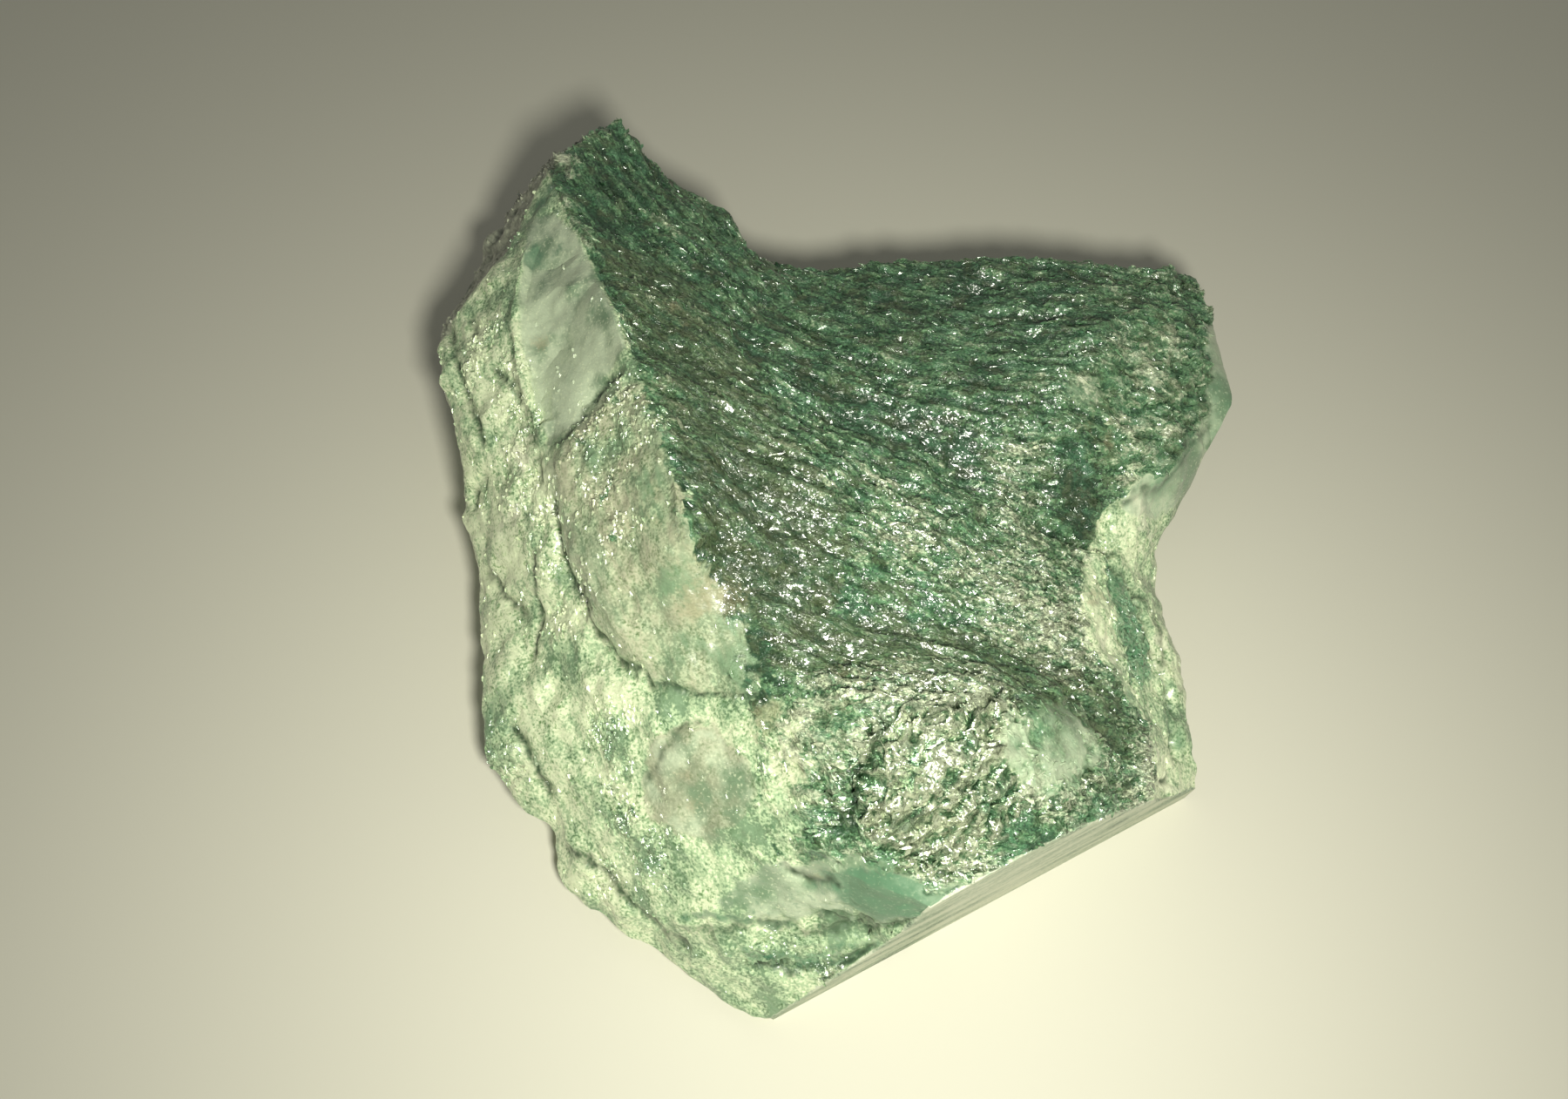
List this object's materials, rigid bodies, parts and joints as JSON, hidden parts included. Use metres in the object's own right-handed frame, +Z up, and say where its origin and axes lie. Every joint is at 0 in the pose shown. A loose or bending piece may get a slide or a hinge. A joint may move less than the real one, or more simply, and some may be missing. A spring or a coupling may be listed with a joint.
{
  "type": "raw fuchsite",
  "caption": "Hand-sized rough lump of green mica schist with a crest, ledges, a hollow and a flaky knob, a long saw-cut face and a flat face to rest on.",
  "frame": {"origin": "centre of the bounding box in plan, on the face that the stone rests on", "axes": "+Z up from the resting face; +Y to the back, where the peak is; +X to the right, towards the wide lobe; the saw-cut face looks to the front right"},
  "size_m": [0.0954, 0.103, 0.0384],
  "materials": {
    "stone": "broken green mica schist with pearly glints, pale waxy quartz-rich patches, and a dull saw-cut face"
  },
  "bodies": {
    "root": {"fuchsite_stone": "stone"}
  },
  "joints": []
}
